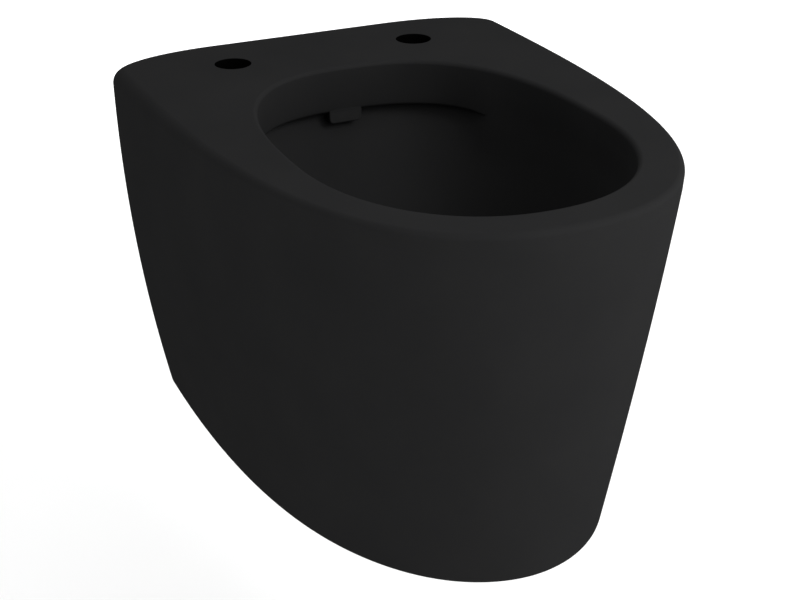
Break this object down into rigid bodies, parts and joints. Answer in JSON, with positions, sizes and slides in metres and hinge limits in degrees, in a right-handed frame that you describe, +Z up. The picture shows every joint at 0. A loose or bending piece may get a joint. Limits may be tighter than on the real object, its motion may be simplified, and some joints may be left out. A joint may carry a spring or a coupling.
{
  "type": "wall-hung toilet pan",
  "caption": "Rimless wall-hung toilet pan in matte black ceramic with an egg-shaped bowl, flat deck, seat holes and concealed draw fixings.",
  "frame": {"origin": "on the wall face, midway between the two fixing studs, which are 180 mm apart", "axes": "+Z up, +Y into the wall, so the pan reaches out along -Y; X across, mirror-symmetric about X = 0"},
  "size_m": [0.337, 0.46, 0.283],
  "materials": {
    "ceramic": "matte black glaze, silky, no gloss",
    "deflector_plastic": "fine matte black moulding",
    "rubber_seal": "moulded black rubber",
    "bush_plastic": "natural nylon, translucent off-white",
    "housing_nylon": "glass-filled nylon, dark grey",
    "zinc_steel": "bright zinc plate",
    "die_cast_zinc": "grainy die-cast zinc alloy",
    "spring_steel": "oil-blackened spring steel"
  },
  "bodies": {
    "pan": {"rim_and_deck": "ceramic", "outer_shell": "ceramic", "bowl": "ceramic", "trapway": "ceramic", "flush_channel": "ceramic", "flush_deflector": "deflector_plastic", "deflector_gasket": "rubber_seal", "inlet_seal": "rubber_seal", "hole_bush_left": "bush_plastic", "hole_bush_right": "bush_plastic", "clamp_housing_left": "housing_nylon", "clamp_housing_right": "housing_nylon", "stud_sleeve_left": "zinc_steel", "stud_sleeve_right": "zinc_steel", "thrust_washer_left": "zinc_steel", "thrust_washer_right": "zinc_steel"},
    "screw_left": {"draw_screw_left": "zinc_steel", "retaining_clip_left": "spring_steel"},
    "wedge_left": {"draw_wedge_left": "die_cast_zinc"},
    "screw_right": {"draw_screw_right": "zinc_steel", "retaining_clip_right": "spring_steel"},
    "wedge_right": {"draw_wedge_right": "die_cast_zinc"}
  },
  "joints": [
    {"name": "draw_screw_turn_left", "type": "hinge", "parent": "pan", "child": "screw_left", "pos_m": [-0.0775, -0.0576, 0.03], "axis": [0, 0, 1], "range_deg": [0, 7490]},
    {"name": "draw_wedge_slide_left", "type": "slide", "parent": "pan", "child": "wedge_left", "axis": [0, 0, -1], "range_m": [0, 0.026]},
    {"name": "draw_screw_turn_right", "type": "hinge", "parent": "pan", "child": "screw_right", "pos_m": [0.0775, -0.0576, 0.03], "axis": [0, 0, 1], "range_deg": [0, 7490]},
    {"name": "draw_wedge_slide_right", "type": "slide", "parent": "pan", "child": "wedge_right", "axis": [0, 0, -1], "range_m": [0, 0.026]}
  ],
  "couplings": [
    {"joint": "draw_screw_turn_left", "follows": "draw_wedge_slide_left", "rad_per_m": 5026.5},
    {"joint": "draw_screw_turn_right", "follows": "draw_wedge_slide_right", "rad_per_m": 5026.5}
  ]
}
